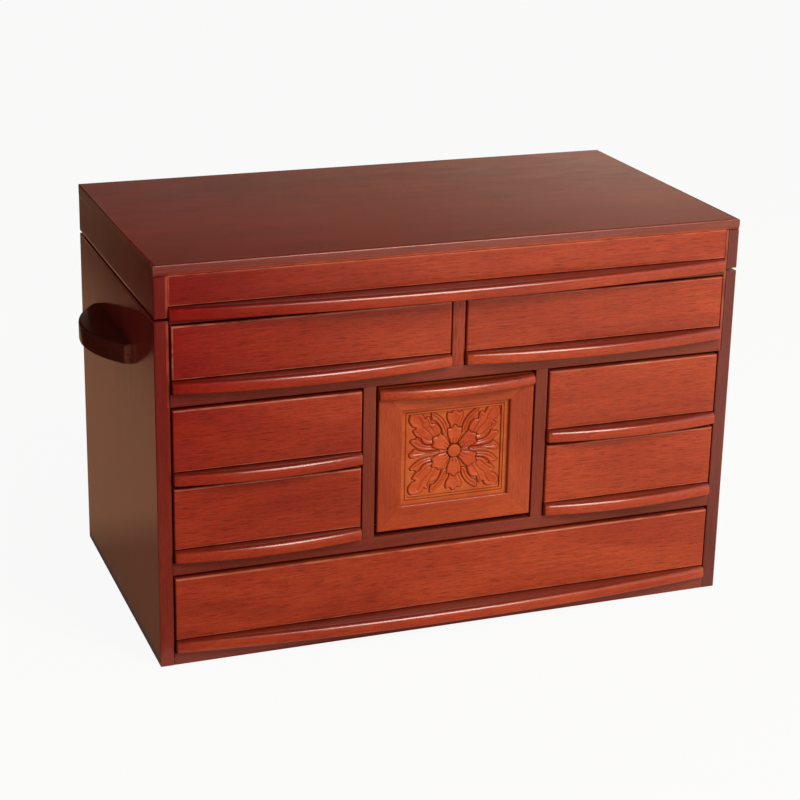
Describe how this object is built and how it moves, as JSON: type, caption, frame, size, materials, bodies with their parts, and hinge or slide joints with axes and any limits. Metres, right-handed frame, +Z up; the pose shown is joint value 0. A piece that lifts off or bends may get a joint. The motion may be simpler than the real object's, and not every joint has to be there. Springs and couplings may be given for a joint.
{
  "type": "jewellery chest with drawers",
  "caption": "Stained wooden jewellery chest with bowed pulls on its drawers, a carved drop-down front over the middle compartment and a hinged lid with a mirror inside.",
  "frame": {"origin": "middle of the carcase underside, at the height of the surface it stands on", "axes": "+X across the width towards the right-hand side as seen from the front, -Y out of the drawer fronts, +Z up"},
  "size_m": [0.4788, 0.2561, 0.2875],
  "materials": {
    "frame_wood": "satin dark maroon-brown stain, worn",
    "front_wood": "satin red-brown stain, worn edges",
    "carved_wood": "satin lighter orange-brown stain, carved",
    "lid_wood": "satin dark red-brown stain",
    "box_wood": "plain unstained pale wood",
    "velvet": "matt dark red velvet",
    "brass": "satin",
    "steel": "satin",
    "catch_plastic": "matt brown",
    "mirror_glass": "polished",
    "soft_rubber": "matt"
  },
  "bodies": {
    "carcase": {"side_panel_left": "frame_wood", "side_panel_right": "frame_wood", "back_panel": "frame_wood", "bottom_board": "frame_wood", "lower_shelf": "frame_wood", "upper_shelf": "frame_wood", "deck_board": "frame_wood", "top_divider": "frame_wood", "post_left": "frame_wood", "post_right": "frame_wood", "dust_boards": "frame_wood", "handle_left": "frame_wood", "handle_right": "frame_wood", "tray_cushions": "velvet", "magnet_catch": "catch_plastic", "hinge_leaves_carcase": "brass", "hinge_screws_carcase": "brass", "hinge_pins": "brass"},
    "lid": {"lid_top": "lid_wood", "lid_front": "front_wood", "lid_back": "lid_wood", "lid_sides": "lid_wood", "lid_pull": "front_wood", "mirror": "mirror_glass", "lid_bumpers": "soft_rubber", "hinge_leaves_lid": "brass", "hinge_screws_lid": "brass"},
    "flap": {"flap_frame": "front_wood", "flap_carved_panel": "carved_wood", "flap_pull": "front_wood", "flap_pivot_pins": "brass", "flap_strike_plate": "steel"},
    "drawer_top_left": {"drawer_top_left_front": "front_wood", "drawer_top_left_pull": "front_wood", "drawer_top_left_box": "box_wood", "drawer_top_left_lining": "velvet"},
    "drawer_top_right": {"drawer_top_right_front": "front_wood", "drawer_top_right_pull": "front_wood", "drawer_top_right_box": "box_wood", "drawer_top_right_lining": "velvet"},
    "drawer_left_upper": {"drawer_left_upper_front": "front_wood", "drawer_left_upper_pull": "front_wood", "drawer_left_upper_box": "box_wood", "drawer_left_upper_lining": "velvet"},
    "drawer_left_lower": {"drawer_left_lower_front": "front_wood", "drawer_left_lower_pull": "front_wood", "drawer_left_lower_box": "box_wood", "drawer_left_lower_lining": "velvet"},
    "drawer_right_upper": {"drawer_right_upper_front": "front_wood", "drawer_right_upper_pull": "front_wood", "drawer_right_upper_box": "box_wood", "drawer_right_upper_lining": "velvet"},
    "drawer_right_lower": {"drawer_right_lower_front": "front_wood", "drawer_right_lower_pull": "front_wood", "drawer_right_lower_box": "box_wood", "drawer_right_lower_lining": "velvet"},
    "drawer_bottom": {"drawer_bottom_front": "front_wood", "drawer_bottom_pull": "front_wood", "drawer_bottom_box": "box_wood", "drawer_bottom_lining": "velvet"}
  },
  "joints": [
    {"name": "lid_hinge", "type": "hinge", "parent": "carcase", "child": "lid", "pos_m": [0, 0.1204, 0.2505], "axis": [-1, 0, 0], "range_deg": [0, 95]},
    {"name": "flap_hinge", "type": "hinge", "parent": "carcase", "child": "flap", "pos_m": [0, -0.115, 0.085], "axis": [1, 0, 0], "range_deg": [0, 85]},
    {"name": "drawer_top_left_slide", "type": "slide", "parent": "carcase", "child": "drawer_top_left", "axis": [0, -1, 0], "range_m": [0, 0.15]},
    {"name": "drawer_top_right_slide", "type": "slide", "parent": "carcase", "child": "drawer_top_right", "axis": [0, -1, 0], "range_m": [0, 0.15]},
    {"name": "drawer_left_upper_slide", "type": "slide", "parent": "carcase", "child": "drawer_left_upper", "axis": [0, -1, 0], "range_m": [0, 0.15]},
    {"name": "drawer_left_lower_slide", "type": "slide", "parent": "carcase", "child": "drawer_left_lower", "axis": [0, -1, 0], "range_m": [0, 0.15]},
    {"name": "drawer_right_upper_slide", "type": "slide", "parent": "carcase", "child": "drawer_right_upper", "axis": [0, -1, 0], "range_m": [0, 0.15]},
    {"name": "drawer_right_lower_slide", "type": "slide", "parent": "carcase", "child": "drawer_right_lower", "axis": [0, -1, 0], "range_m": [0, 0.15]},
    {"name": "drawer_bottom_slide", "type": "slide", "parent": "carcase", "child": "drawer_bottom", "axis": [0, -1, 0], "range_m": [0, 0.15]}
  ]
}
